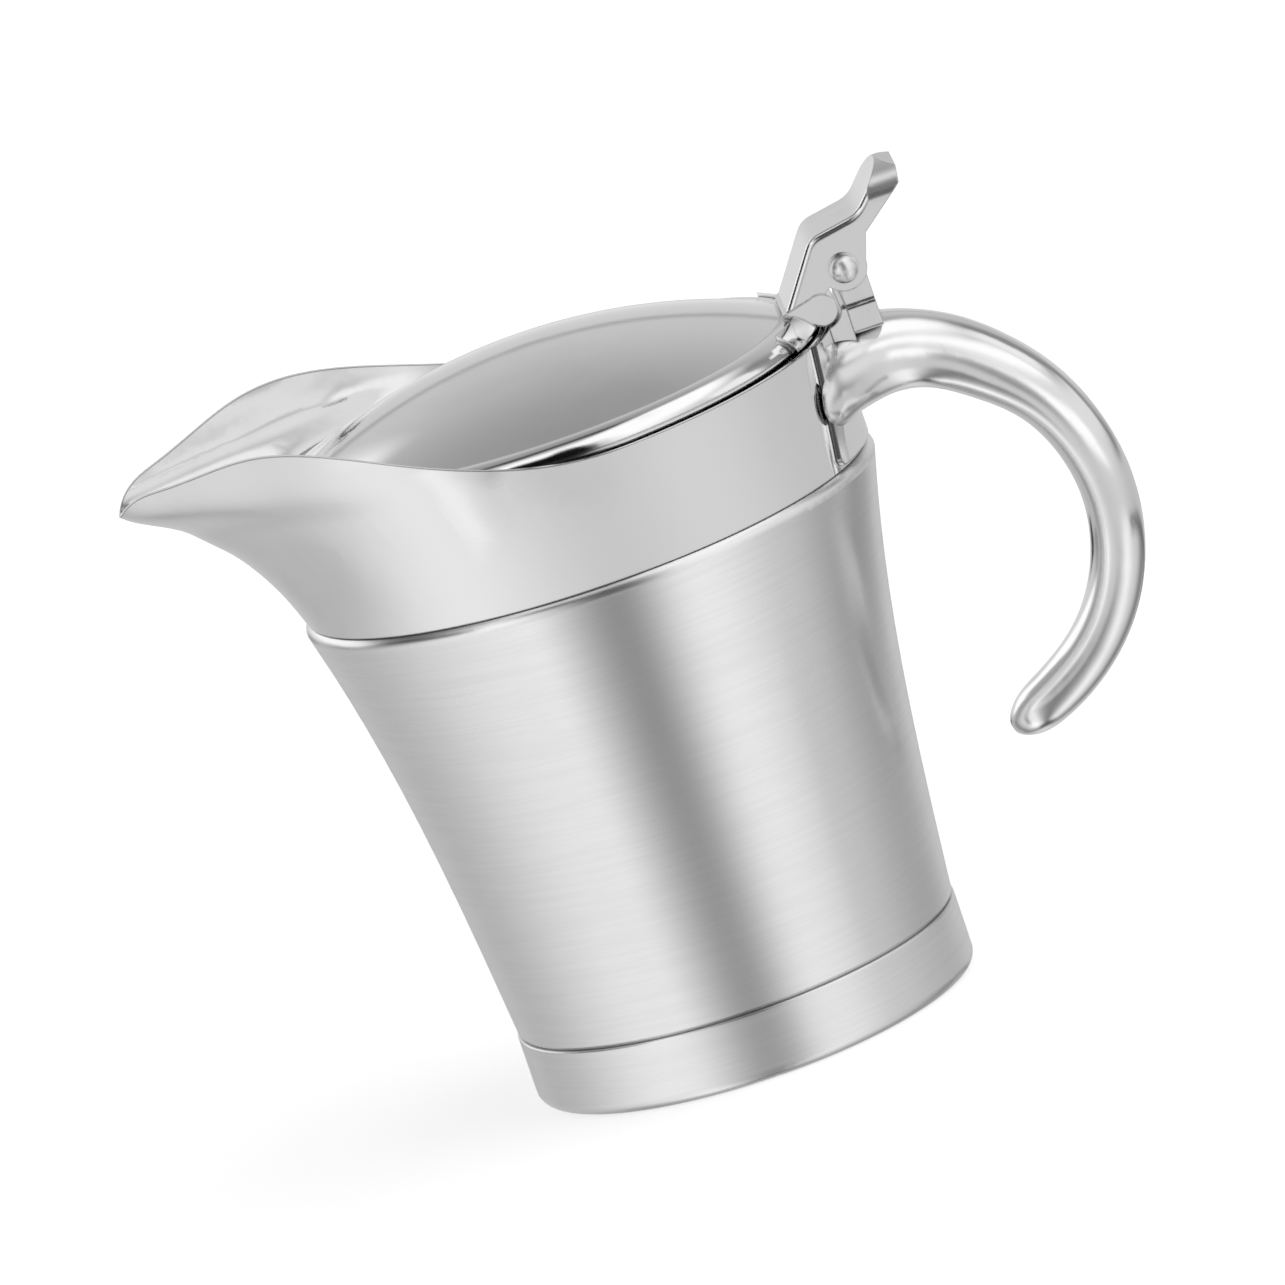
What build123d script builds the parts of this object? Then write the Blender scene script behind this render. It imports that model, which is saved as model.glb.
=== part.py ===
"""Insulated gravy boat with a hinged lid and a thumb lever, in millimetres.

Frame: +Z up, origin at the middle of the base on the plane that it stands on.
The spout points to -X, the handle to +X, and the lid's hinge pin lies along Y.
"""
import os
from math import acos, copysign, cos, degrees, dist, pi, radians, sin, sqrt, tan

from build123d import *

# Fits between pieces
slip_gap = 0.05          # between sheet pieces that are welded or pressed together
running_gap = 0.3        # beside anything that turns with the lid
pin_play = 0.05          # radial play of the pin in the post
overrun = 2.0            # how far a cutting form runs past what it cuts

# Base cup
base_radius = 45.2
base_height = 14.0
base_corner = 2.4        # outside rounding where the wall meets the floor
base_wall = 0.8
base_groove_inner = 28.0     # stiffening groove pressed into the floor from below
base_groove_outer = 34.0
base_groove_depth = 1.2
base_lip_round = 0.35

# Outer shell, a flared tube
shell_wall = 0.8
shell_foot_step = 0.25       # how far the shell's foot stands back from the base cup's side
shell_shoulder_step = 1.2    # how far the shoulder stands proud of the collar
shell_shoulder_drop = 2.6    # from the seam down to the shoulder
shell_lower_flare = 0.2      # share of the flare reached at a third of the height
shell_upper_flare = 0.4      # share of the flare reached by the second control point
seam_height = 106.2          # where the spout collar starts
shell_mouth_lap = 3.4        # how far the rolled-in top reaches in under the collar
shell_joggle = 0.8           # height of the step that slips into the base cup

# Inner liner, the vessel that holds the gravy
insulation_gap = 4.5
liner_wall = 0.8
liner_floor_height = 8.0
liner_corner = 9.0
liner_neck_height = 9.0      # straight length below the flange

# Spout collar
collar_radius = 57.2
collar_wall = 1.2
collar_height = 24.1         # from the seam to the level part of the rim
collar_spare = 21.7          # height of the blank above the level rim, before it is cut
spout_nose_radius = 9.0      # plan radius of the lip
spout_heel_tuck = 6.7        # the front's plan radius is this much less than the collar's at the seam
spout_swell = 0.45           # how far the front stands proud where the collar starts
spout_tip_run = 28.4         # tip of the spout from the collar's round
spout_tip_rise = 7.9         # tip of the spout above the level rim
spout_evenness = 0.43        # share of the reach that grows evenly with height
spout_wing_lean = 3.0        # further reach of the wings above the tip
spout_wing_rise = 2.0        # height above the tip at which half of that is reached
spout_nose_power = 1.5       # how fast the front narrows from the heel to the lip
side_swell_foot = 0.4        # straight stretch of each side where the collar starts
side_swell = 8.0             # the same at the height of the tip
collar_steps = 10            # sections of the loft above the first one
collar_points = 26           # stretches in which each section is fitted
rim_level_reach = 14.0       # where the level part of the rim ends, behind the axis
rim_wave = (                 # rest of the rim as (reach toward the spout, rise above the level part)
    (5.6, 2.0),
    (30.0, 10.0),
    (57.0, 16.6),
    (75.0, 13.2),
)
rim_tip_run = (-0.6, -1.0)   # direction in which the rim reaches the tip

# Lid, a shallow dome inside the collar
lid_gap = 1.5                # between the lid's edge and the collar
lid_wall = 0.8
lid_skirt = 2.4
lid_band_width = 5.2         # steeper border band outside the crease
lid_band_height = 3.3
lid_band_bulge = 0.9         # rise of the band's arc over its chord
lid_dome_height = 13.6
lid_edge_rise = 1.0          # lid's edge above the level part of the rim

# Hinge
pin_run = 6.2                # pin behind the collar's round
pin_rise = 10.5              # pin above the level rim
pin_diameter = 3.0
pin_ball_diameter = 5.6
pin_ball_proud = 1.5         # from the cheek to the middle of the ball
pin_cap_depth = 1.6          # how deep the shaft enters the cap
post_half_width = 9.6
post_head_radius = 4.2
post_front_run = 4.3         # front and rear of the post behind the collar's round
post_rear_run = 10.2
block_drop = 2.8             # bottom of the post's block below the level rim
block_rise = 2.8             # its top above the level rim
block_round = 0.6

# Thumb lever, a channel with two cheeks; its corners are (run, rise) from the pin
cheek_wall = 1.25
strap_wall = 1.5
cheek_lobe_radius = 4.7
lever_foot = (-13.5, -5.2)       # front of the strap, low at the lid
lever_knee = (-4.7, 7.4)
lever_dip = (5.6, 9.2)
lever_tip = (12.7, 16.9)
lever_tip_back = (16.0, 15.3)
lever_tail = (15.5, 12.4)
lever_heel = (6.4, 5.2)
lever_knee_round = 5.0
lever_dip_round = 6.0
lever_edge_round = 1.2           # between the strap's front and the cheeks
lever_tab_rise = 6.0             # height of the thumb tab's rounded end, seen from the front

# Bracket that carries the lid on the lever
bracket_wall = 1.2
bracket_lap = 0.6                # how far the flange covers the lid's skirt
bracket_reach = 2.4              # how far it covers the lid's border band
bracket_sweep = 27.0             # degrees each side that the flange hugs the lid
knuckle_inset = 0.5              # knuckle's middle inside the collar's round
knuckle_rise = 3.9               # and above the level rim
knuckle_radius = 3.2
knuckle_gap = 0.7                # running space round the knuckle

# Saddle behind the collar, which carries the handle and the hinge post
saddle_wall = 0.9
saddle_half_width = 23.0         # at the rim
saddle_foot_half_width = 28.5    # at the seam
saddle_bottom_gap = 0.8          # above the seam
saddle_boss_drop = 9.3           # bottom of the boss below the level rim
saddle_corner = 1.5

# Handle: sections along its middle line, from the collar's round and the level rim
handle_stations = (
    # run, rise, half thickness, half width, squareness
    (-7.2, -10.2, 7.4, 28.5, 3.2),
    (-0.7, -10.1, 7.7, 20.5, 3.0),
    (7.8, -9.8, 7.9, 11.8, 2.7),
    (18.7, -13.1, 7.3, 8.8, 2.4),
    (27.3, -19.3, 6.9, 8.2, 2.3),
    (34.4, -26.9, 6.2, 8.0, 2.3),
    (39.7, -37.6, 5.7, 8.0, 2.3),
    (41.8, -50.3, 5.45, 8.0, 2.3),
    (40.3, -61.1, 5.35, 7.8, 2.3),
    (35.6, -71.7, 5.25, 7.6, 2.3),
    (27.3, -80.8, 5.15, 7.2, 2.3),
    (18.2, -86.3, 5.0, 6.8, 2.3),
)
handle_tip = (9.2, -89.9)
handle_tip_shares = (0.45, 0.75, 0.92, 0.985)   # stations of the rounded end, as shares of its length
handle_belly = 0.3               # the widest line is this share of the half thickness nearer the hand
handle_points = 30               # points that each section is drawn through
handle_fineness = 8              # points of the outline to each of those

# Values that follow from those above
shell_foot_radius = base_radius - shell_foot_step
shell_shoulder_radius = collar_radius + shell_shoulder_step
shell_shoulder_height = seam_height - shell_shoulder_drop
shell_mouth_radius = collar_radius - shell_mouth_lap
rim_height = seam_height + collar_height
collar_top = rim_height + collar_spare
spout_heel_radius = collar_radius - spout_heel_tuck
spout_tip_reach = collar_radius + spout_tip_run
spout_tip_height = rim_height + spout_tip_rise
pin_x = collar_radius + pin_run
pin_z = rim_height + pin_rise
post_front = collar_radius + post_front_run
post_rear = collar_radius + post_rear_run
block_bottom = rim_height - block_drop
block_top = rim_height + block_rise
knuckle_x = collar_radius - knuckle_inset
knuckle_z = rim_height + knuckle_rise
saddle_boss_bottom = rim_height - saddle_boss_drop
skirt_radius = base_radius - base_wall - slip_gap
liner_offset = shell_wall + insulation_gap
liner_neck_radius = shell_mouth_radius - slip_gap
collar_inner_radius = collar_radius - collar_wall
lid_radius = collar_inner_radius - lid_gap
lever_half_width = post_half_width + running_gap + cheek_wall
saddle_radius = collar_radius + slip_gap
lid_edge_height = rim_height + lid_edge_rise


def from_pin(corner):
    """Place of a point that is given as (run, rise) from the pin."""
    return (pin_x + corner[0], pin_z + corner[1])


def flare(radius, height, top_radius, top_height):
    """Curved wall from (radius, height) up to (top_radius, top_height)."""
    rise = top_height - height
    spread = top_radius - radius
    return Bezier(
        (radius, height),
        (radius + shell_lower_flare * spread, height + rise / 3),
        (radius + shell_upper_flare * spread, height + 2 * rise / 3),
        (top_radius, top_height),
    )


def turned(edges):
    """Solid of revolution about Z from edges drawn as (radius, height)."""
    face = make_face(Plane.XZ * edges)
    return revolve(face, Axis.Z)


def ring(inner, outer, bottom, top):
    """Plain tube about Z."""
    wall = Cylinder(outer, top - bottom) - Cylinder(inner, top - bottom)
    return Pos(0, 0, (bottom + top) / 2) * wall


def slab(x_from, x_to, half_width, z_from, z_to):
    """Box that is centred on the XZ plane."""
    middle = Pos((x_from + x_to) / 2, 0, (z_from + z_to) / 2)
    return middle * Box(x_to - x_from, 2 * half_width, z_to - z_from)


def across(radius, half_width, x, z):
    """Cylinder along Y."""
    return Pos(x, 0, z) * Rot(90, 0, 0) * Cylinder(radius, 2 * half_width)


def profile(sketch, half_width):
    """Sketch in the XZ plane, as thick as 2 * half_width along Y."""
    return extrude(Plane.XZ * sketch, amount=half_width, both=True)


def make_base_cup():
    corner = base_corner - base_wall
    inner = base_radius - base_wall
    shift = base_wall * (sqrt(2) - 1)    # where the inside of the wall turns at a 45 degree bend
    top = base_wall + base_groove_depth
    edges = Polyline(
        (0, 0),
        (base_groove_inner - base_groove_depth, 0),
        (base_groove_inner, base_groove_depth),
        (base_groove_outer, base_groove_depth),
        (base_groove_outer + base_groove_depth, 0),
        (base_radius - base_corner, 0),
    )
    edges += RadiusArc((base_radius - base_corner, 0), (base_radius, base_corner), -base_corner)
    edges += Polyline(
        (base_radius, base_corner),
        (base_radius, base_height),
        (inner, base_height),
        (inner, base_corner),
    )
    edges += RadiusArc((inner, base_corner), (inner - corner, base_wall), corner)
    edges += Polyline(
        (inner - corner, base_wall),
        (base_groove_outer + base_groove_depth + shift, base_wall),
        (base_groove_outer + shift, top),
        (base_groove_inner - shift, top),
        (base_groove_inner - base_groove_depth - shift, base_wall),
        (0, base_wall),
        (0, 0),
    )
    cup = turned(edges)
    lip = cup.edges().filter_by(GeomType.CIRCLE).group_by(Axis.Z)[-1].sort_by(SortBy.RADIUS)[-1]
    return fillet(lip, base_lip_round)


def shell_form(inset):
    """Outer form of the shell, shrunk by inset on every side but the bottom."""
    foot = shell_foot_radius - inset
    shoulder = shell_shoulder_radius - inset
    top = seam_height - inset
    wall = flare(foot, base_height + shell_joggle, shoulder, shell_shoulder_height)
    slope = wall % 1
    roll = (top - shell_shoulder_height) / (1 + slope.X)
    crown = shoulder - roll * slope.Y
    bottom = base_corner + slip_gap
    edges = Line((0, bottom), (skirt_radius - inset, bottom))
    edges += Line((skirt_radius - inset, bottom), (skirt_radius - inset, base_height))
    edges += Line((skirt_radius - inset, base_height), (foot, base_height + shell_joggle))
    edges += wall
    edges += TangentArc((shoulder, shell_shoulder_height), (crown, top), tangent=slope)
    edges += Line((crown, top), (0, top))
    edges += Line((0, top), (0, bottom))
    return turned(edges)


def make_outer_shell():
    shell = shell_form(0) - shell_form(shell_wall)
    mouth = Cylinder(shell_mouth_radius, 4 * shell_wall)
    return shell - Pos(0, 0, seam_height) * mouth


def liner_form(inset):
    """Outer form of the liner's vessel, shrunk by inset on its side and floor."""
    foot = shell_foot_radius - liner_offset - inset
    neck = liner_neck_radius - inset
    neck_bottom = seam_height - liner_neck_height
    floor = liner_floor_height + inset
    corner = liner_corner - inset
    edges = Line((0, floor), (foot - corner, floor))
    edges += RadiusArc((foot - corner, floor), (foot, floor + corner), -corner)
    edges += flare(foot, floor + corner, neck, neck_bottom)
    edges += Line((neck, neck_bottom), (neck, seam_height + liner_wall))
    edges += Line((neck, seam_height + liner_wall), (0, seam_height + liner_wall))
    edges += Line((0, seam_height + liner_wall), (0, floor))
    return turned(edges)


def spout_reach(height):
    """How far the front of the collar stands from the axis at a height."""
    share = (height - seam_height) / (spout_tip_height - seam_height)
    heel = collar_radius + spout_swell
    if share > 1:
        above = height - spout_tip_height
        return spout_tip_reach + spout_wing_lean * above / (above + spout_wing_rise)
    growth = spout_evenness * share + (1 - spout_evenness) * share ** 3
    return heel + (spout_tip_reach - heel) * growth


def spout_nose(height):
    """Plan radius of the front of the collar at a height."""
    share = min((height - seam_height) / (spout_tip_height - seam_height), 1)
    return spout_nose_radius + (spout_heel_radius - spout_nose_radius) * (1 - share) ** spout_nose_power


def side_stretch(height):
    """Straight stretch of each side of the collar at a height."""
    share = min((height - seam_height) / (spout_tip_height - seam_height), 1)
    return side_swell_foot + (side_swell - side_swell_foot) * share ** 2


def collar_section(height, inset):
    """Plan of the collar at a height: round behind, straight sides, then tangents to a round nose."""
    straight = side_stretch(height)
    nose = spout_nose(height)
    middle = spout_reach(height) - nose
    turn = acos((collar_radius - nose) / (middle - straight))
    large = collar_radius - inset
    small = nose - inset
    side = (-straight - large * cos(turn), large * sin(turn))
    front = (-middle - small * cos(turn), small * sin(turn))
    bend = 90 - degrees(turn)
    outline = Wire([
        CenterArc((0, 0), large, 0, 90),
        Line((0, large), (-straight, large)),
        CenterArc((-straight, 0), large, 90, bend),
        Line(side, front),
        CenterArc((-middle, 0), small, 180 - degrees(turn), 2 * degrees(turn)),
        Line((front[0], -front[1]), (side[0], -side[1])),
        CenterArc((-straight, 0), large, 180 + degrees(turn), bend),
        Line((-straight, -large), (0, -large)),
        CenterArc((0, 0), large, 270, 90),
    ])
    points = [outline @ (point / collar_points) for point in range(collar_points)]
    return Plane((0, 0, height)) * make_face(Spline(*points, periodic=True))


def collar_form(inset):
    """Loft of the collar's sections, up to a blank that is taller than the rim."""
    rise = (collar_top - seam_height) / collar_steps
    return loft([collar_section(seam_height + rise * step, inset) for step in range(collar_steps + 1)])


def rim_blank():
    """Everything above the rim, whose height changes along X."""
    rear = collar_radius + overrun
    front = 2 * spout_tip_reach
    ceiling = collar_top + overrun
    wave = [(-reach, rim_height + rise) for reach, rise in rim_wave]
    rim = Spline((rim_level_reach, rim_height), *wave, (-spout_tip_reach, spout_tip_height),
                 tangents=((-1, 0), rim_tip_run))
    edges = Line((rear, rim_height), (rim_level_reach, rim_height))
    edges += rim
    edges += Line((-spout_tip_reach, spout_tip_height), (-front, seam_height))
    edges += Line((-front, seam_height), (-front, ceiling))
    edges += Line((-front, ceiling), (rear, ceiling))
    edges += Line((rear, ceiling), (rear, rim_height))
    return profile(make_face(edges), 2 * collar_radius)


def knuckle_recess(half_width):
    """Room for the lid's knuckle to turn, open upward and to the front."""
    reach = knuckle_radius + knuckle_gap
    room = across(reach, half_width, knuckle_x, knuckle_z)
    room += slab(knuckle_x - 3 * reach, knuckle_x + reach, half_width, knuckle_z, knuckle_z + 6 * reach)
    room += slab(knuckle_x - 3 * reach, knuckle_x, half_width, knuckle_z - reach, knuckle_z + reach)
    return room


def make_spout_collar():
    collar = collar_form(0) - collar_form(collar_wall) - rim_blank()
    return collar - knuckle_recess(lever_half_width + running_gap)


def make_inner_liner():
    flange = extrude(collar_section(seam_height, collar_wall + slip_gap), amount=liner_wall, dir=(0, 0, 1))
    return liner_form(0) + flange - liner_form(liner_wall)


def lid_form(inset, skirt):
    """Dome with a steeper border band, shrunk by inset."""
    edge = lid_radius - inset
    crease = lid_radius - lid_band_width
    crease_height = lid_band_height - inset
    chord = sqrt((edge - crease) ** 2 + crease_height ** 2)
    band_middle = (
        (edge + crease) / 2 + lid_band_bulge * crease_height / chord,
        crease_height / 2 + lid_band_bulge * (edge - crease) / chord,
    )
    crown = lid_dome_height - inset
    sagitta = crown - crease_height
    bend = (crease ** 2 + sagitta ** 2) / (2 * sagitta)
    half = crease / 2
    half_height = crown - bend + sqrt(bend ** 2 - half ** 2)
    edges = Line((0, -skirt), (edge, -skirt))
    edges += Line((edge, -skirt), (edge, 0))
    edges += ThreePointArc((edge, 0), band_middle, (crease, crease_height))
    edges += ThreePointArc((crease, crease_height), (half, half_height), (0, crown))
    edges += Line((0, crown), (0, -skirt))
    return turned(edges)


def make_lid():
    lid = lid_form(0, lid_skirt) - lid_form(lid_wall, lid_skirt)
    return Pos(0, 0, lid_edge_height) * lid


def make_lid_bracket():
    inside = lid_radius - lid_band_width
    hug = lid_form(-bracket_wall, bracket_lap) - Cylinder(lid_radius - bracket_reach, 4 * lid_dome_height)
    reach = 2 * lid_radius
    spread = reach * tan(radians(bracket_sweep))
    wedge = Polygon((0, 0), (reach, -spread), (reach, spread), align=None)
    hug &= extrude(wedge, amount=2 * lid_dome_height, both=True)
    block = Polygon(
        (inside, lid_edge_height),
        (inside, from_pin(lever_foot)[1]),
        (knuckle_x, knuckle_z + knuckle_radius),
        (knuckle_x, knuckle_z - knuckle_radius),
        (lid_radius + bracket_wall, lid_edge_height),
        align=None,
    )
    body = Pos(0, 0, lid_edge_height) * hug
    body += profile(block, lever_half_width)
    body += across(knuckle_radius, lever_half_width, knuckle_x, knuckle_z)
    return body - Pos(0, 0, lid_edge_height) * lid_form(0, lid_skirt)


def lever_front():
    """Front line of the thumb lever, from the lid up to the tip."""
    corners = [from_pin(corner) for corner in (lever_foot, lever_knee, lever_dip, lever_tip)]
    return FilletPolyline(*corners, radius=[lever_knee_round, lever_dip_round])


def lever_sketch():
    """Side outline of the thumb lever."""
    foot = from_pin(lever_foot)
    back = [from_pin(corner) for corner in (lever_tip, lever_tip_back, lever_tail, lever_heel)]
    lobe = (pin_x + cheek_lobe_radius, pin_z)
    return make_face(lever_front() + Polyline(*back, lobe, (pin_x, pin_z), (knuckle_x, foot[1]), foot))


def lever_room():
    """Hollow of the channel in side view, one strap wall behind the front line."""
    under = pin_z - 3 * cheek_lobe_radius
    rear = pin_x + 2 * cheek_lobe_radius
    foot = from_pin(lever_foot)
    tab = [from_pin(corner) for corner in (lever_dip, lever_heel, lever_tail, lever_tip_back, lever_tip)]
    edges = lever_front()
    edges += Polyline(tab[4], tab[1], (rear, pin_z), (rear, under), (foot[0], under), foot)
    return make_face(edges) - trace(lever_front(), 2 * strap_wall) - Polygon(*tab, align=None)


def is_front_edge(edge):
    """Whether an edge of the lever runs between its front and a cheek."""
    place = edge @ 0.5
    beside = abs(place.Y) > post_half_width
    return beside and lever_front().distance_to(Vector(place.X, place.Z)) < slip_gap


def make_thumb_lever(bracket):
    lever = profile(lever_sketch() + Pos(pin_x, pin_z) * Circle(cheek_lobe_radius), lever_half_width)
    lever = fillet(lever.edges().filter_by(is_front_edge), lever_edge_round)
    shoulder = from_pin(lever_tip)[1] - lever_tab_rise
    outline = Pos(0, shoulder) * Ellipse(lever_half_width, lever_tab_rise)
    outline += Pos(0, shoulder / 2) * Rectangle(2 * lever_half_width, shoulder)
    lever &= extrude(Plane.YZ * outline, amount=2 * pin_x)
    lever -= profile(lever_room(), post_half_width + running_gap)
    lever -= across(pin_diameter / 2, 2 * lever_half_width, pin_x, pin_z)
    return lever - bracket - Pos(0, 0, lid_edge_height) * lid_form(0, lid_skirt)


def make_hinge_post():
    block = slab(post_front, post_rear, lever_half_width, block_bottom, block_top)
    block = fillet(block.edges().filter_by(Axis.X), block_round)
    column = slab(post_front, post_rear, post_half_width, block_top, pin_z)
    head = across(post_head_radius, post_half_width, pin_x, pin_z)
    post = block + column + head
    return post - across(pin_diameter / 2 + pin_play, 2 * lever_half_width, pin_x, pin_z)


def ball(side):
    """Round end of the pin, standing on the outside of a cheek."""
    sphere = Pos(pin_x, side * (lever_half_width + pin_ball_proud), pin_z) * Sphere(pin_ball_diameter / 2)
    cheek = Pos(pin_x, side * (lever_half_width - pin_ball_diameter / 2), pin_z)
    return sphere - cheek * Box(2 * pin_ball_diameter, pin_ball_diameter, 2 * pin_ball_diameter)


def make_hinge_pin():
    length = 2 * lever_half_width + pin_cap_depth
    shaft = Pos(pin_x, pin_cap_depth / 2, pin_z) * Rot(90, 0, 0) * Cylinder(pin_diameter / 2, length)
    return shaft + ball(-1)


def make_pin_cap(pin):
    return ball(1) - pin


def make_handle_saddle():
    bottom = seam_height + saddle_bottom_gap
    plate = ring(saddle_radius, saddle_radius + saddle_wall, bottom, rim_height)
    outline = Polygon(
        (-saddle_foot_half_width, bottom),
        (saddle_foot_half_width, bottom),
        (saddle_half_width, rim_height),
        (-saddle_half_width, rim_height),
        align=None,
    )
    outline = fillet(outline.vertices().group_by(Axis.Y)[0], saddle_corner)
    plate &= extrude(Plane.YZ * outline, amount=2 * saddle_radius)
    boss = slab(0, post_front, lever_half_width, saddle_boss_bottom, block_top)
    boss -= Cylinder(saddle_radius, 2 * collar_top)
    return plate + boss - knuckle_recess(2 * saddle_half_width)


def rounded(share, squareness):
    """Coordinate on a rounded outline, between -1 and 1, from a sine or cosine."""
    return copysign(abs(share) ** (2 / squareness), share)


def evenly_spaced(outline, count):
    """Points at even distances round a closed outline."""
    closed = outline + outline[:1]
    stride = sum(dist(start, end) for start, end in zip(closed, closed[1:])) / count
    points = []
    passed = 0.0
    for start, end in zip(closed, closed[1:]):
        length = dist(start, end)
        while len(points) < count and len(points) * stride <= passed + length:
            share = (len(points) * stride - passed) / length
            points.append((start[0] + share * (end[0] - start[0]), start[1] + share * (end[1] - start[1])))
        passed += length
    return points


def handle_section(point, tangent, thick, wide, squareness):
    """Face across the handle's middle line, flatter on the side of the hand."""
    belly = handle_belly * thick
    outline = []
    for step in range(handle_points * handle_fineness):
        angle = 2 * pi * step / (handle_points * handle_fineness)
        rise = rounded(sin(angle), squareness)
        depth = (thick + belly) * rise if rise > 0 else (thick - belly) * rise
        outline.append((wide * rounded(cos(angle), squareness), depth - belly))
    plane = Plane(origin=point, x_dir=(0, 1, 0), z_dir=tangent)
    return plane * make_face(Spline(*evenly_spaced(outline, handle_points), periodic=True))


def make_handle(saddle, post):
    places = [(collar_radius + run, 0, rim_height + rise) for run, rise, *size in handle_stations]
    middle = Spline(*places, (collar_radius + handle_tip[0], 0, rim_height + handle_tip[1]))
    sections = []
    for place, station in zip(places, handle_stations):
        share = middle.param_at_point(place)
        sections.append(handle_section(middle @ share, middle % share, *station[2:]))
    thick, wide, squareness = handle_stations[-1][2:]
    for share in handle_tip_shares:
        size = sqrt(1 - share ** 2)
        place = middle.param_at_point(places[-1]) * (1 - share) + share
        sections.append(handle_section(middle @ place, middle % place, thick * size, wide * size, squareness))
    bar = loft(sections) - Cylinder(saddle_radius + saddle_wall, 2 * collar_top)
    return bar - saddle - post


def write(name, shape):
    """One solid in one file."""
    solid = shape.solids()[0] if len(shape.solids()) == 1 else Compound(shape.solids())
    solid.label = name
    export_step(solid, f"parts/{name}.step")


def main():
    os.makedirs("parts", exist_ok=True)
    bracket = make_lid_bracket()
    post = make_hinge_post()
    saddle = make_handle_saddle()
    pin = make_hinge_pin()
    pieces = {
        "base_cup": make_base_cup(),
        "outer_shell": make_outer_shell(),
        "inner_liner": make_inner_liner(),
        "spout_collar": make_spout_collar(),
        "handle_saddle": saddle,
        "handle": make_handle(saddle, post),
        "hinge_post": post,
        "hinge_pin": pin,
        "pin_cap": make_pin_cap(pin),
        "lid": make_lid(),
        "lid_bracket": bracket,
        "thumb_lever": make_thumb_lever(bracket),
    }
    for name, shape in pieces.items():
        write(name, shape)


main()
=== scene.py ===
"""The looks of the insulated gravy boat: its steel finishes, the light tent and the camera, in metres."""
from math import cos, radians, sin

import bmesh
import bpy
from mathutils import Matrix, Vector

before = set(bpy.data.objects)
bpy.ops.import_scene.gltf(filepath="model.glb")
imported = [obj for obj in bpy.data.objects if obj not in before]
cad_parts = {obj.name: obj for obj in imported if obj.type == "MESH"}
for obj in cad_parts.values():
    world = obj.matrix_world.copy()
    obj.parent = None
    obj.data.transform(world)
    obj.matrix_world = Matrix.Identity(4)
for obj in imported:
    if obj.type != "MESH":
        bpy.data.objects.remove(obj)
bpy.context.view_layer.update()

# Driving values of the camera and the floor
camera_rise = 12.25              # degrees above the level of the boat
camera_roll = 18.85              # degrees, the spout end hangs lower in the picture
camera_distance = 3.0
camera_lens = 429.5              # mm
camera_sensor = 36               # mm wide
camera_target = (0.003, 0.0, 0.0808)
floor_half = 6.0
floor_white = 0.9
floor_roughness = 0.9
floor_glow = 0.52                # what the floor adds for the camera, so that it shows white

# Driving values of the light tent: angles in degrees, levels as the share of white that steel shows
# Upright lamps and gaps all round, as (azimuth from the camera, level);
# positive azimuths lie toward the handle
tent_round = (
    (-180, 0.85), (-128, 0.5), (-50, 1.0), (2, 0.5), (38, 0.95), (80, 0.8), (128, 0.5), (180, 0.85),
)
# The same in the band that upright walls mirror, as far below the level as the camera lies above it
tent_level_band = ((-180, 0.75), (-135, 0.7), (-55, 0.9), (8, 0.78), (48, 0.82), (110, 0.75), (180, 0.75))
# Wall behind with its horizon, a dark beam and the white top, as (elevation, level)
tent_behind = (
    (0, 0.8), (11, 0.77), (13.5, 0.65), (16.5, 0.75), (59, 0.58), (66, 0.28), (71, 0.3), (80, 0.75),
    (90, 1.0),
)
# Where one part of the tent passes into the next
level_band_edge = (4.0, 9.0)     # to either side of the band's middle
behind_side = (120.0, 155.0)     # azimuth, to either side
behind_foot = (-6.0, 4.0)        # elevation
white_top = (66.0, 74.0)         # elevation
# Flags and lamps: azimuth, elevation, half width, half height, softness, level
tent_panels = {
    "shoulder_flag": (2, 40, 14, 42, 9, 0.28),
    "shoulder_side": (-116, 44, 26, 30, 12, 0.45),
    "window_low": (76, 9, 42, 9, 6, 0.86),
    "window_near": (54, 28, 22, 7, 5, 1.0),
    "window_side": (95, 34, 15, 9, 4, 0.92),
    "window_high": (92, 60, 58, 13, 8, 1.0),
    "spout_lamp": (38, 1, 16, 6, 4, 1.0),
    "lever_flag": (-84, 29, 24, 12, 3, 0.04),
    "crown_flag": (-19, 61, 37, 14, 5, 0.05),
    "lever_strip": (-140, 20, 26, 12, 4, 1.0),
    "handle_flag": (118, -22, 52, 1.8, 2, 0.42),
    "spout_flag": (-158, -7, 7, 3, 1.5, 0.25),
    "table_edge": (0, -86, 180, 8, 4, 0.3),
}
# Panel at the level of the band: azimuth, elevation, half width, half height, softness
spout_side = (-118, -30, 78, 18, 8)

# Driving values of the steel
steel_tone = 0.86                # share of the light that it sends back
mask_samples = 4
# Painted shade in the narrow seams where pieces meet
seam_reach = 0.0015
seam_span = (0.15, 0.75)         # how open a seam is, from fully shaded to clear
edge_span = (0.955, 0.995)       # how far eased and plain normal agree, from edge to flat
fine_edge = 0.0003               # radii to which the finishes ease sharp edges
cast_edge = 0.0004
lid_edge = 0.0006
handle_edge = 0.0012

# Satin steel
shell_lines = 2600.0             # per metre, up the body
liner_lines = 1800.0
line_spread = 70.0               # per metre, round the body
line_layers = ((1.0, 1.0), (0.37, 0.45))     # shares of the lines and of their spread
line_contrast = (0.36, 0.64)
patch_density = (60.0, 60.0, 22.0)           # per metre
patch_contrast = (0.32, 0.68)
# Painted shade in seams, real brush lines, painted shade and dark reflection along edges
satin_painted_seam_shade = 0.25           # shares of the tone that seams, lines and edges take away
satin_line_dark = 0.03
satin_painted_edge_shade = 0.1
satin_uneven = 0.03              # roughness that lines and patches add
satin_gloss_stretch = 0.75
satin_gloss_turn = 0.25          # of a full turn

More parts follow.
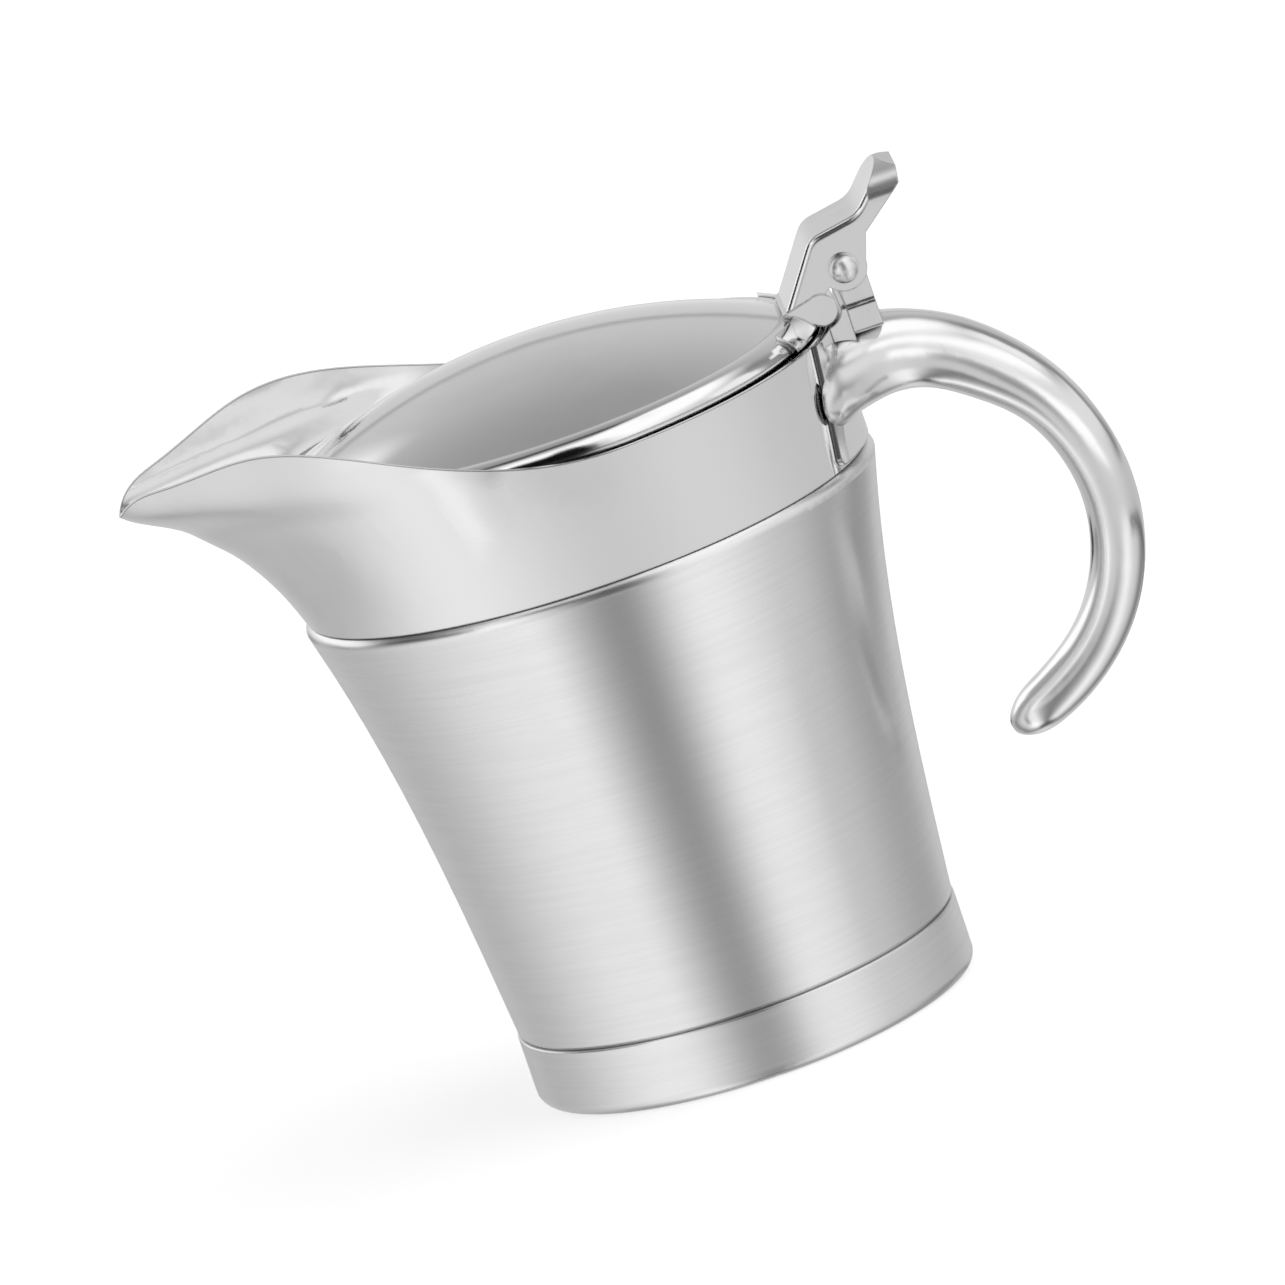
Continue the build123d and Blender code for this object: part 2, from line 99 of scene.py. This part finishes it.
# Polished steel
wheel_ripple = 0.00002           # depth of the slow ripple
pin_ripple = 0.000002
sheet_ripple_size = 0.02
cast_ripple_size = 0.008
ripple_contrast = (0.2, 0.8)
smear_size = 0.03
smear_contrast = (0.42, 0.72)
scratch_runs = ((0.5, (40.0, 1500.0, 900.0)), (2.1, (1400.0, 60.0, 800.0)))  # turn, density per metre
scratch_contrast = (0.62, 0.74)
scratch_depth = 0.00001
scratch_strength = 0.2
# Painted shade in seams, real smears, painted shade and dark reflection along edges
polish_painted_seam_shade = 0.55          # shares of the tone that seams, smears and edges take away
polish_smear_dark = 0.05
# Painted shade and dark reflection along the edges of each polished finish
rim_painted_shade = 0.85
cast_painted_shade = 0.3
handle_painted_shade = 0.2
polish_worn = 0.05               # roughness that smears and scratches add
thumb_worn = 0.3                 # roughness that thumbs add
thumb_heights = (0.149, 0.155)   # from untouched to worn


# Nodes

def put(tree, kind, settings=None, **inputs):
    """A node with its settings, and its inputs by name: a value, or another node's output."""
    made = tree.nodes.new(kind)
    for name, value in (settings or {}).items():
        setattr(made, name, value)
    for name, value in inputs.items():
        feed(tree, made.inputs[name.replace("_", " ")], value)
    return made


def feed(tree, socket, value):
    """Gives a socket its value, or links it to another node's output."""
    if isinstance(value, bpy.types.NodeSocket):
        tree.links.new(value, socket)
    else:
        socket.default_value = value


def calc(tree, operation, *operands):
    """Result of one operation on numbers or outputs."""
    made = tree.nodes.new("ShaderNodeMath")
    made.operation = operation
    for socket, operand in zip(made.inputs, operands):
        feed(tree, socket, operand)
    return made.outputs[0]


def remap(tree, value, low, high, to_low=0.0, to_high=1.0):
    """Smooth step of a value from one span to another."""
    made = put(tree, "ShaderNodeMapRange", {"interpolation_type": "SMOOTHSTEP"}, Value=value)
    for name, level in (("From Min", low), ("From Max", high), ("To Min", to_low), ("To Max", to_high)):
        feed(tree, made.inputs[name], level)
    return made.outputs[0]


def blend(tree, share, first, second):
    """The first value where the share is 0, the second where it is 1."""
    made = put(tree, "ShaderNodeMix", Factor=share)
    feed(tree, made.inputs[2], first)
    feed(tree, made.inputs[3], second)
    return made.outputs[0]


def stretched(tree, axes, factors):
    """Coordinate with each axis times its own factor."""
    x, y, z = [calc(tree, "MULTIPLY", axis, factor) for axis, factor in zip(axes, factors)]
    return put(tree, "ShaderNodeCombineXYZ", X=x, Y=y, Z=z).outputs[0]


def curve_of(tree, angle, stops, low, high):
    """Soft curve through stops that are given as (angle, share of white shown)."""
    made = tree.nodes.new("ShaderNodeValToRGB")
    made.color_ramp.interpolation = "EASE"
    elements = made.color_ramp.elements
    while len(elements) < len(stops):
        elements.new(0.5)
    for element, (stop, shown) in zip(elements, stops):
        element.position = (stop - low) / (high - low)
        element.color = (mirrored(shown), mirrored(shown), mirrored(shown), 1)
    share = calc(tree, "DIVIDE", calc(tree, "SUBTRACT", angle, low), high - low)
    tree.links.new(share, made.inputs[0])
    return made.outputs[0]


def group(name, inputs, outputs):
    """Node group with named sockets; gives its tree and its input and output nodes."""
    tree = bpy.data.node_groups.new(name, "ShaderNodeTree")
    for socket, (kind, value) in inputs.items():
        made = tree.interface.new_socket(socket, in_out="INPUT", socket_type="NodeSocket" + kind)
        if value is not None:
            made.default_value = value
    for socket, kind in outputs.items():
        tree.interface.new_socket(socket, in_out="OUTPUT", socket_type="NodeSocket" + kind)
    return tree, tree.nodes.new("NodeGroupInput"), tree.nodes.new("NodeGroupOutput")


def place(tree, effect, **inputs):
    """One use of a node group, with its inputs by name."""
    return put(tree, "ShaderNodeGroup", {"node_tree": effect}, **inputs).outputs


# Studio

def linear(shown):
    """Scene level of a grey that shows as this share of white, by the curve of a common screen."""
    return shown / 12.92 if shown <= 0.04045 else ((shown + 0.055) / 1.055) ** 2.4


def mirrored(shown):
    """Level of the tent that steel shows as this share of white."""
    return linear(shown) / steel_tone


def tent_panel():
    """Soft-edged panel that covers what lies below it."""
    names = ("Azimuth", "Elevation", "Middle", "Height", "Half Width", "Half Height", "Softness", "Level",
             "Below")
    tree, given, result = group("tent_panel", {name: ("Float", 0.0) for name in names}, {"Level": "Float"})
    asked = given.outputs
    away = calc(tree, "SUBTRACT", asked["Azimuth"], asked["Middle"])
    away = calc(tree, "ABSOLUTE", calc(tree, "WRAP", away, 180.0, -180.0))
    above = calc(tree, "ABSOLUTE", calc(tree, "SUBTRACT", asked["Elevation"], asked["Height"]))
    cover = []
    for distance, half in ((away, asked["Half Width"]), (above, asked["Half Height"])):
        inside = calc(tree, "SUBTRACT", half, asked["Softness"])
        outside = calc(tree, "ADD", half, asked["Softness"])
        cover.append(remap(tree, distance, inside, outside, 1.0, 0.0))
    share = calc(tree, "MULTIPLY", *cover)
    tree.links.new(blend(tree, share, asked["Below"], asked["Level"]), result.inputs["Level"])
    return tree


def covered(tree, panel, where, form, level, below):
    """The tent with one more panel over it; its form is its place, half size and softness."""
    middle, height, half_width, half_height, softness = form
    return place(tree, panel, **where, Middle=middle, Height=height, Half_Width=half_width,
                 Half_Height=half_height, Softness=softness, Level=level, Below=below)["Level"]


def light_tent():
    """World that the steel mirrors: a white tent with softer parts, flags and lamps round it."""
    world = bpy.data.worlds.new("light_tent")
    bpy.context.scene.world = world
    world.use_nodes = True
    tree = world.node_tree
    tree.nodes.clear()
    direction = tree.nodes.new("ShaderNodeTexCoord").outputs["Generated"]
    x, y, z = put(tree, "ShaderNodeSeparateXYZ", Vector=direction).outputs
    turn = calc(tree, "ARCTAN2", x, calc(tree, "MULTIPLY", y, -1.0))
    azimuth = calc(tree, "DEGREES", turn)
    elevation = calc(tree, "DEGREES", calc(tree, "ARCSINE", z))
    round_about = curve_of(tree, azimuth, tent_round, -180, 180)
    level_band = curve_of(tree, azimuth, tent_level_band, -180, 180)
    behind = curve_of(tree, elevation, tent_behind, 0, 90)
    band = calc(tree, "ABSOLUTE", calc(tree, "ADD", elevation, camera_rise))
    level = blend(tree, remap(tree, band, *level_band_edge, 1.0, 0.0), round_about, level_band)
    away = remap(tree, calc(tree, "ABSOLUTE", azimuth), *behind_side)
    up = remap(tree, elevation, *behind_foot)
    level = blend(tree, calc(tree, "MULTIPLY", away, up), level, behind)
    front = calc(tree, "SUBTRACT", 1.0, away)
    top = calc(tree, "MULTIPLY", front, remap(tree, elevation, *white_top))
    level = blend(tree, top, level, mirrored(1.0))
    panel = tent_panel()
    where = {"Azimuth": azimuth, "Elevation": elevation}
    level = covered(tree, panel, where, spout_side, level_band, level)
    for *form, shown in tent_panels.values():
        level = covered(tree, panel, where, form, mirrored(shown), level)
    path = tree.nodes.new("ShaderNodeLightPath").outputs
    seen = blend(tree, path["Is Camera Ray"], level, 1.0)
    glow = put(tree, "ShaderNodeBackground", Color=seen).outputs[0]
    put(tree, "ShaderNodeOutputWorld", Surface=glow)


def studio_floor():
    """White floor that keeps a soft shadow; the steel mirrors the tent below it instead."""
    mesh = bpy.data.meshes.new("studio_floor")
    shape = bmesh.new()
    bmesh.ops.create_grid(shape, x_segments=1, y_segments=1, size=floor_half)
    shape.to_mesh(mesh)
    shape.free()
    floor = bpy.data.objects.new("studio_floor", mesh)
    bpy.context.scene.collection.objects.link(floor)
    floor.visible_glossy = False
    material = bpy.data.materials.new("floor_paper")
    material.use_nodes = True
    tree = material.node_tree
    shader = tree.nodes["Principled BSDF"]
    shader.inputs["Base Color"].default_value = (floor_white, floor_white, floor_white, 1)
    shader.inputs["Roughness"].default_value = floor_roughness
    shader.inputs["Specular IOR Level"].default_value = 0.0
    shader.inputs["Emission Color"].default_value = (1, 1, 1, 1)
    path = tree.nodes.new("ShaderNodeLightPath").outputs
    seen = calc(tree, "MULTIPLY", path["Is Camera Ray"], floor_glow)
    tree.links.new(seen, shader.inputs["Emission Strength"])
    mesh.materials.append(material)


def photograph_camera():
    """Long lens from a little above, rolled so that the spout end hangs lower."""
    rise = radians(camera_rise)
    roll = radians(camera_roll)
    back = Vector((0.0, -cos(rise), sin(rise)))
    right = Vector((1.0, 0.0, 0.0))
    up = back.cross(right)
    rolled_right = cos(roll) * right - sin(roll) * up
    rolled_up = sin(roll) * right + cos(roll) * up
    lens = bpy.data.cameras.new("photograph_camera")
    lens.sensor_width = camera_sensor
    lens.lens = camera_lens
    lens.clip_end = 4 * floor_half
    camera = bpy.data.objects.new("photograph_camera", lens)
    bpy.context.scene.collection.objects.link(camera)
    turn = Matrix((rolled_right, rolled_up, back)).transposed().to_4x4()
    camera.matrix_world = Matrix.Translation(Vector(camera_target) + camera_distance * back) @ turn
    bpy.context.scene.camera = camera


# Effects that several finishes share

def brushed_lines():
    """Fine lines that run round the upright axis, as left by a brush on a turning body."""
    tree, given, result = group(
        "brushed_lines",
        {"Coordinate": ("Vector", None), "Lines": ("Float", shell_lines), "Spread": ("Float", line_spread)},
        {"Line": "Float", "Patch": "Float"},
    )
    asked = given.outputs
    axes = put(tree, "ShaderNodeSeparateXYZ", Vector=asked["Coordinate"]).outputs
    layers = []
    for density, spread in line_layers:
        along = calc(tree, "MULTIPLY", asked["Spread"], spread)
        across = calc(tree, "MULTIPLY", asked["Lines"], density)
        fine = stretched(tree, axes, (along, along, across))
        layers.append(put(tree, "ShaderNodeTexNoise", Vector=fine, Scale=1.0, Detail=3.0).outputs[0])
    line = calc(tree, "MULTIPLY", calc(tree, "ADD", *layers), 0.5)
    tree.links.new(remap(tree, line, *line_contrast), result.inputs["Line"])
    broad = stretched(tree, axes, patch_density)
    patch = put(tree, "ShaderNodeTexNoise", Vector=broad, Scale=1.0, Detail=2.0).outputs[0]
    tree.links.new(remap(tree, patch, *patch_contrast), result.inputs["Patch"])
    return tree


def polish_marks():
    """What a polishing wheel and hands leave on mirror steel: slow ripple, smears and hair scratches."""
    tree, given, result = group(
        "polish_marks",
        {"Coordinate": ("Vector", None), "Ripple Size": ("Float", sheet_ripple_size),
         "Smear Size": ("Float", smear_size)},
        {"Ripple": "Float", "Smear": "Float", "Scratch": "Float"},
    )
    asked = given.outputs
    for output, detail, contrast in (("Ripple", 0.0, ripple_contrast), ("Smear", 4.0, smear_contrast)):
        scale = calc(tree, "DIVIDE", 1.0, asked[output + " Size"])
        noise = put(tree, "ShaderNodeTexNoise", Vector=asked["Coordinate"], Scale=scale, Detail=detail)
        tree.links.new(remap(tree, noise.outputs[0], *contrast), result.inputs[output])
    hairs = []
    for angle, density in scratch_runs:
        turned = put(tree, "ShaderNodeVectorRotate", {"rotation_type": "AXIS_ANGLE"},
                     Vector=asked["Coordinate"], Angle=angle).outputs[0]
        drawn_out = put(tree, "ShaderNodeVectorMath", {"operation": "MULTIPLY"})
        tree.links.new(turned, drawn_out.inputs[0])
        drawn_out.inputs[1].default_value = density
        noise = put(tree, "ShaderNodeTexNoise", Vector=drawn_out.outputs[0], Scale=1.0, Detail=2.0)
        hairs.append(remap(tree, noise.outputs[0], *scratch_contrast))
    tree.links.new(calc(tree, "MAXIMUM", *hairs), result.inputs["Scratch"])
    return tree


def painted_seam_shade():
    """Mask of the narrow gaps where pieces meet, where shade is painted into the steel's colour."""
    tree, given, result = group("painted_seam_shade", {"Reach": ("Float", seam_reach)}, {"Shade": "Float"})
    near = put(tree, "ShaderNodeAmbientOcclusion", {"samples": mask_samples},
               Distance=given.outputs["Reach"])
    tree.links.new(remap(tree, near.outputs["AO"], *seam_span, 1.0, 0.0), result.inputs["Shade"])
    return tree


def eased_edges():
    """Normal that eases every sharp edge, with a mask of where it does, for painted dark edge lines."""
    tree, given, result = group("eased_edges", {"Radius": ("Float", fine_edge)},
                                {"Normal": "Vector", "Edge": "Float"})
    eased = put(tree, "ShaderNodeBevel", {"samples": mask_samples}, Radius=given.outputs["Radius"]).outputs[0]
    plain = tree.nodes.new("ShaderNodeNewGeometry").outputs["Normal"]
    turn = put(tree, "ShaderNodeVectorMath", {"operation": "DOT_PRODUCT"})
    tree.links.new(eased, turn.inputs[0])
    tree.links.new(plain, turn.inputs[1])
    tree.links.new(eased, result.inputs["Normal"])
    tree.links.new(remap(tree, turn.outputs["Value"], *edge_span, 1.0, 0.0), result.inputs["Edge"])
    return tree


lines_round = brushed_lines()
wheel_marks = polish_marks()
# Painted shade for the narrow seams
painted_seams = painted_seam_shade()
soft_edges = eased_edges()


# Finishes

def finish_tree(name):
    """A new steel finish: its material, tree, shader and the coordinates of the piece."""
    material = bpy.data.materials.new(name)
    material.use_nodes = True
    tree = material.node_tree
    shader = tree.nodes["Principled BSDF"]
    shader.inputs["Metallic"].default_value = 1.0
    return material, tree, shader, tree.nodes.new("ShaderNodeTexCoord").outputs["Object"]


def toned(tree, shader, *marks):
    """Grey of the steel, darker by each (mask, share)."""
    level = steel_tone
    for mask, share in marks:
        level = calc(tree, "MULTIPLY", level, remap(tree, mask, 0.0, 1.0, 1.0, 1.0 - share))
    tree.links.new(level, shader.inputs["Base Color"])


def roughened(tree, roughness, *marks):
    """Roughness with what each (mask, share) adds to it."""
    for mask, share in marks:
        roughness = calc(tree, "ADD", roughness, calc(tree, "MULTIPLY", mask, share))
    return roughness


def brushed_steel(name, roughness, lines, depth):
    """Satin steel, brushed round the body."""
    material, tree, shader, coordinate = finish_tree(name)
    mark = place(tree, lines_round, Coordinate=coordinate, Lines=lines)
    shade = place(tree, painted_seams)["Shade"]
    edge = place(tree, soft_edges)
    # Painted shade in seams, painted shade and dark reflection along edges; the brush lines are real marks
    toned(tree, shader, (shade, satin_painted_seam_shade), (mark["Line"], satin_line_dark),
          (edge["Edge"], satin_painted_edge_shade))
    rough = roughened(tree, roughness - satin_uneven, (mark["Line"], satin_uneven),
                      (mark["Patch"], satin_uneven))
    tree.links.new(rough, shader.inputs["Roughness"])
    bump = put(tree, "ShaderNodeBump", Strength=1.0, Distance=depth, Height=mark["Line"],
               Normal=edge["Normal"])
    tree.links.new(bump.outputs[0], shader.inputs["Normal"])
    shader.inputs["Anisotropic"].default_value = satin_gloss_stretch
    shader.inputs["Anisotropic Rotation"].default_value = satin_gloss_turn
    around = put(tree, "ShaderNodeTangent", {"direction_type": "RADIAL", "axis": "Z"}).outputs[0]
    tree.links.new(around, shader.inputs["Tangent"])
    return material


def polished_steel(name, roughness, ripple_size, radius, painted_edge_shade, ripple=wheel_ripple, thumbed=None):
    """Mirror steel with smears, scratches, a slow ripple, painted shade in seams and at edges, dull where
    thumbed.
    """
    material, tree, shader, coordinate = finish_tree(name)
    mark = place(tree, wheel_marks, Coordinate=coordinate, Ripple_Size=ripple_size)
    shade = place(tree, painted_seams)["Shade"]
    edge = place(tree, soft_edges, Radius=radius)
    # Painted shade in seams, painted shade and dark reflection along edges; the smears are real marks
    toned(tree, shader, (shade, polish_painted_seam_shade), (mark["Smear"], polish_smear_dark),
          (edge["Edge"], painted_edge_shade))
    rough = roughened(tree, roughness, (mark["Smear"], polish_worn), (mark["Scratch"], polish_worn))
    if thumbed:
        height = put(tree, "ShaderNodeSeparateXYZ", Vector=coordinate).outputs[2]
        rough = calc(tree, "ADD", rough, remap(tree, height, *thumbed, 0.0, thumb_worn))
    tree.links.new(rough, shader.inputs["Roughness"])
    wave = put(tree, "ShaderNodeBump", Strength=1.0, Distance=ripple, Height=mark["Ripple"],
               Normal=edge["Normal"])
    hair = put(tree, "ShaderNodeBump", Strength=scratch_strength, Distance=scratch_depth,
               Height=mark["Scratch"], Normal=wave.outputs[0])
    tree.links.new(hair.outputs[0], shader.inputs["Normal"])
    return material


light_tent()
studio_floor()
photograph_camera()

# The last share of each polished finish is its painted shade and dark reflection along edges
finishes = {
    brushed_steel("satin_shell_steel", roughness=0.3, lines=shell_lines, depth=0.000004): (
        "base_cup", "outer_shell"),
    brushed_steel("liner_steel", roughness=0.26, lines=liner_lines, depth=0.000008): ("inner_liner",),
    polished_steel("collar_steel", 0.05, sheet_ripple_size, cast_edge, rim_painted_shade): (
        "spout_collar", "handle_saddle"),
    polished_steel("lid_steel", 0.05, sheet_ripple_size, lid_edge, rim_painted_shade): ("lid",),
    polished_steel("handle_steel", 0.08, sheet_ripple_size, handle_edge, handle_painted_shade): ("handle",),
    polished_steel("lever_steel", 0.05, cast_ripple_size, cast_edge, cast_painted_shade, thumbed=thumb_heights): (
        "thumb_lever",),
    polished_steel("cast_steel", 0.06, cast_ripple_size, cast_edge, cast_painted_shade): (
        "lid_bracket", "hinge_post"),
    polished_steel("pin_steel", 0.36, cast_ripple_size, cast_edge, cast_painted_shade, ripple=pin_ripple): (
        "hinge_pin", "pin_cap"),
}
for finish, names in finishes.items():
    for name in names:
        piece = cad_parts[name]
        piece.data.materials.clear()
        piece.data.materials.append(finish)

bpy.context.scene.view_settings.view_transform = "Standard"
